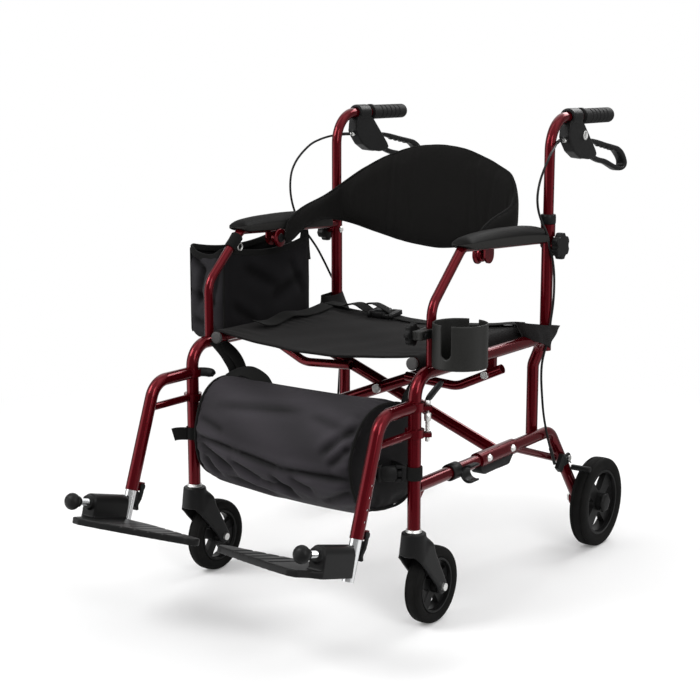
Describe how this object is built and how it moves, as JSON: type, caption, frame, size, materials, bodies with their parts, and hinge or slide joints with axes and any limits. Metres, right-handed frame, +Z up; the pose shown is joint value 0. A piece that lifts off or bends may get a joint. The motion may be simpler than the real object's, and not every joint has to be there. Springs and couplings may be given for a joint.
{
  "type": "rollator transport chair",
  "caption": "Four-wheeled walking frame that turns into a transport chair, with sling seat, turn-over backrest, swing-away footrests, loop brakes and folding cross brace.",
  "frame": {"origin": "on the floor under the middle of the chair's outer box", "axes": "+Z up, the seated person faces -Y, +X towards that person's left"},
  "size_m": [0.776, 1.2338, 0.9755],
  "materials": {
    "frame_paint": "metallic burgundy lacquer",
    "black_plastic": "moulded, fine grain",
    "wheel_plastic": "moulded, satin",
    "footrest_steel": "bright",
    "bolt_steel": "zinc plated",
    "tyre_rubber": "ribbed rubber",
    "grip_rubber": "soft moulded",
    "pad_foam": "skinned foam",
    "cable_jacket": "smooth",
    "cloth": "coated woven cloth",
    "back_cloth": "padded woven cloth",
    "bag_cloth": "woven cloth with piping",
    "belt_web": "webbing"
  },
  "bodies": {
    "left_frame": {"left_side_frame": "frame_paint", "left_lower_rail": "frame_paint", "left_arm_tube": "frame_paint", "left_rear_post": "frame_paint", "left_armrest_pad": "pad_foam", "left_frame_bolts": "bolt_steel", "left_brake_cable": "cable_jacket", "cup_holder": "black_plastic", "under_seat_bag": "bag_cloth"},
    "brace_a_body": {"cross_brace_a": "frame_paint", "brace_pivot_bolt": "bolt_steel"},
    "brace_b_body": {"cross_brace_b": "frame_paint", "seat_sling": "cloth", "seat_belt": "belt_web"},
    "right_frame": {"right_side_frame": "frame_paint", "right_lower_rail": "frame_paint", "right_arm_tube": "frame_paint", "right_rear_post": "frame_paint", "right_armrest_pad": "pad_foam", "right_frame_bolts": "bolt_steel", "right_brake_cable": "cable_jacket", "side_bag": "bag_cloth"},
    "back_body": {"backrest": "back_cloth"},
    "cup_knob_body": {"cup_clamp_knob": "black_plastic"},
    "left_handle": {"left_handle_tube": "frame_paint", "left_grip": "grip_rubber", "left_brake_housing": "black_plastic"},
    "left_lever": {"left_brake_lever": "black_plastic"},
    "left_knob": {"left_height_knob": "black_plastic"},
    "left_brake": {"left_brake_shoe": "black_plastic"},
    "left_rear_wheel": {"left_rear_tyre": "tyre_rubber", "left_rear_rim": "wheel_plastic"},
    "left_fork": {"left_caster_fork": "black_plastic", "left_caster_axle": "bolt_steel"},
    "left_caster_wheel": {"left_caster_tyre": "tyre_rubber", "left_caster_rim": "wheel_plastic"},
    "left_hanger": {"left_footrest_hanger": "frame_paint"},
    "left_foot_slide": {"left_footrest_tube": "footrest_steel"},
    "left_foot_rod": {"left_footrest_pivot": "black_plastic"},
    "left_foot_plate": {"left_footplate": "black_plastic"},
    "left_foot_lock": {"left_footrest_lever": "black_plastic"},
    "left_stay": {"left_stay_link": "frame_paint"},
    "right_handle": {"right_handle_tube": "frame_paint", "right_grip": "grip_rubber", "right_brake_housing": "black_plastic"},
    "right_lever": {"right_brake_lever": "black_plastic"},
    "right_knob": {"right_height_knob": "black_plastic"},
    "right_brake": {"right_brake_shoe": "black_plastic"},
    "right_rear_wheel": {"right_rear_tyre": "tyre_rubber", "right_rear_rim": "wheel_plastic"},
    "right_fork": {"right_caster_fork": "black_plastic", "right_caster_axle": "bolt_steel"},
    "right_caster_wheel": {"right_caster_tyre": "tyre_rubber", "right_caster_rim": "wheel_plastic"},
    "right_hanger": {"right_footrest_hanger": "frame_paint"},
    "right_foot_slide": {"right_footrest_tube": "footrest_steel"},
    "right_foot_rod": {"right_footrest_pivot": "black_plastic"},
    "right_foot_plate": {"right_footplate": "black_plastic"},
    "right_foot_lock": {"right_footrest_lever": "black_plastic"},
    "right_stay": {"right_stay_link": "frame_paint"}
  },
  "joints": [
    {"name": "frame_fold", "type": "hinge", "parent": "left_frame", "child": "brace_a_body", "pos_m": [0.273, 0.053, 0.285], "axis": [0, 1, 0], "range_deg": [0, 36], "deforming": ["seat_sling", "seat_belt", "backrest", "under_seat_bag"]},
    {"name": "brace_cross", "type": "hinge", "parent": "brace_a_body", "child": "brace_b_body", "pos_m": [0, 0.053, 0.392], "axis": [0, 1, 0], "range_deg": [-72, 0]},
    {"name": "right_frame_upright", "type": "hinge", "parent": "brace_b_body", "child": "right_frame", "pos_m": [-0.273, 0.053, 0.285], "axis": [0, 1, 0], "range_deg": [0, 36]},
    {"name": "back_flip", "type": "hinge", "parent": "left_frame", "child": "back_body", "pos_m": [0, 0.015, 0.697], "axis": [1, 0, 0], "range_deg": [0, 150]},
    {"name": "cup_knob_turn", "type": "hinge", "parent": "left_frame", "child": "cup_knob_body", "pos_m": [0.273, -0.236, 0.573], "axis": [1, 0, 0], "continuous": true},
    {"name": "left_stay_turn", "type": "hinge", "parent": "left_frame", "child": "left_stay", "pos_m": [0.273, 0.03, 0.456], "axis": [0, 1, 0], "range_deg": [0, 66]},
    {"name": "left_handle_height", "type": "slide", "parent": "left_frame", "child": "left_handle", "axis": [0, 0, 1], "range_m": [-0.07, 0.05], "deforming": ["left_brake_cable"]},
    {"name": "left_brake_squeeze", "type": "hinge", "parent": "left_handle", "child": "left_lever", "pos_m": [0.273, 0.421, 0.891], "axis": [1, 0, 0], "range_deg": [-14, 16], "stiffness_Nm_per_rad": 2},
    {"name": "left_brake_press", "type": "hinge", "parent": "left_frame", "child": "left_brake", "pos_m": [0.273, 0.34461, 0.2157], "axis": [-1, 0, 0], "range_deg": [-2.6, 2.9]},
    {"name": "left_height_knob_turn", "type": "hinge", "parent": "left_frame", "child": "left_knob", "pos_m": [0.273, 0.261, 0.693], "axis": [1, 0, 0], "continuous": true},
    {"name": "left_rear_wheel_roll", "type": "hinge", "parent": "left_frame", "child": "left_rear_wheel", "pos_m": [0.273, 0.435, 0.1], "axis": [1, 0, 0], "continuous": true},
    {"name": "left_caster_swivel", "type": "hinge", "parent": "left_frame", "child": "left_fork", "pos_m": [0.273, -0.251, 0.197], "axis": [0, 0, 1], "continuous": true},
    {"name": "left_caster_roll", "type": "hinge", "parent": "left_fork", "child": "left_caster_wheel", "pos_m": [0.273, -0.187, 0.076], "axis": [1, 0, 0], "continuous": true},
    {"name": "left_footrest_swing", "type": "hinge", "parent": "left_frame", "child": "left_hanger", "pos_m": [0.273, -0.251, 0.41], "axis": [0, 0, 1], "range_deg": [0, 90]},
    {"name": "left_footrest_length", "type": "slide", "parent": "left_hanger", "child": "left_foot_slide", "axis": [0, -0.342, -0.9397], "range_m": [0, 0.06]},
    {"name": "left_footplate_fold", "type": "hinge", "parent": "left_foot_slide", "child": "left_foot_rod", "pos_m": [0.273, -0.45016, 0.20842], "axis": [0, 0.9659, -0.2588], "range_deg": [0, 108]},
    {"name": "left_footplate_flip", "type": "hinge", "parent": "left_foot_rod", "child": "left_foot_plate", "pos_m": [0.273, -0.45016, 0.20842], "axis": [0, 0.9659, -0.2588], "range_deg": [0, 90]},
    {"name": "left_foot_lock_turn", "type": "hinge", "parent": "left_hanger", "child": "left_foot_lock", "pos_m": [0.273, -0.41618, 0.23542], "axis": [1, 0, 0], "range_deg": [0, 16], "stiffness_Nm_per_rad": 0.3},
    {"name": "right_stay_turn", "type": "hinge", "parent": "right_frame", "child": "right_stay", "pos_m": [-0.273, 0.03, 0.456], "axis": [0, 1, 0], "range_deg": [-66, 0]},
    {"name": "right_handle_height", "type": "slide", "parent": "right_frame", "child": "right_handle", "axis": [0, 0, 1], "range_m": [-0.07, 0.05], "deforming": ["right_brake_cable"]},
    {"name": "right_brake_squeeze", "type": "hinge", "parent": "right_handle", "child": "right_lever", "pos_m": [-0.273, 0.421, 0.891], "axis": [1, 0, 0], "range_deg": [-14, 16], "stiffness_Nm_per_rad": 2},
    {"name": "right_brake_press", "type": "hinge", "parent": "right_frame", "child": "right_brake", "pos_m": [-0.273, 0.34461, 0.2157], "axis": [-1, 0, 0], "range_deg": [-2.6, 2.9]},
    {"name": "right_height_knob_turn", "type": "hinge", "parent": "right_frame", "child": "right_knob", "pos_m": [-0.273, 0.261, 0.693], "axis": [1, 0, 0], "continuous": true},
    {"name": "right_rear_wheel_roll", "type": "hinge", "parent": "right_frame", "child": "right_rear_wheel", "pos_m": [-0.273, 0.435, 0.1], "axis": [1, 0, 0], "continuous": true},
    {"name": "right_caster_swivel", "type": "hinge", "parent": "right_frame", "child": "right_fork", "pos_m": [-0.273, -0.251, 0.197], "axis": [0, 0, 1], "continuous": true},
    {"name": "right_caster_roll", "type": "hinge", "parent": "right_fork", "child": "right_caster_wheel", "pos_m": [-0.273, -0.187, 0.076], "axis": [1, 0, 0], "continuous": true},
    {"name": "right_footrest_swing", "type": "hinge", "parent": "right_frame", "child": "right_hanger", "pos_m": [-0.273, -0.251, 0.41], "axis": [0, 0, -1], "range_deg": [0, 90]},
    {"name": "right_footrest_length", "type": "slide", "parent": "right_hanger", "child": "right_foot_slide", "axis": [0, -0.342, -0.9397], "range_m": [0, 0.06]},
    {"name": "right_footplate_fold", "type": "hinge", "parent": "right_foot_slide", "child": "right_foot_rod", "pos_m": [-0.273, -0.45016, 0.20842], "axis": [0, -0.9659, 0.2588], "range_deg": [0, 108]},
    {"name": "right_footplate_flip", "type": "hinge", "parent": "right_foot_rod", "child": "right_foot_plate", "pos_m": [-0.273, -0.45016, 0.20842], "axis": [0, -0.9659, 0.2588], "range_deg": [0, 90]},
    {"name": "right_foot_lock_turn", "type": "hinge", "parent": "right_hanger", "child": "right_foot_lock", "pos_m": [-0.273, -0.41618, 0.23542], "axis": [1, 0, 0], "range_deg": [0, 16], "stiffness_Nm_per_rad": 0.3}
  ],
  "couplings": [
    {"joint": "brace_cross", "follows": "frame_fold", "ratio": -2},
    {"joint": "right_frame_upright", "follows": "frame_fold", "ratio": 1},
    {"joint": "left_stay_turn", "follows": "frame_fold", "ratio": 1.8},
    {"joint": "left_brake_press", "follows": "left_brake_squeeze", "ratio": 0.16},
    {"joint": "left_footplate_fold", "follows": "frame_fold", "ratio": 3},
    {"joint": "right_stay_turn", "follows": "frame_fold", "ratio": -1.8},
    {"joint": "right_brake_press", "follows": "right_brake_squeeze", "ratio": 0.16},
    {"joint": "right_footplate_fold", "follows": "frame_fold", "ratio": 3}
  ]
}
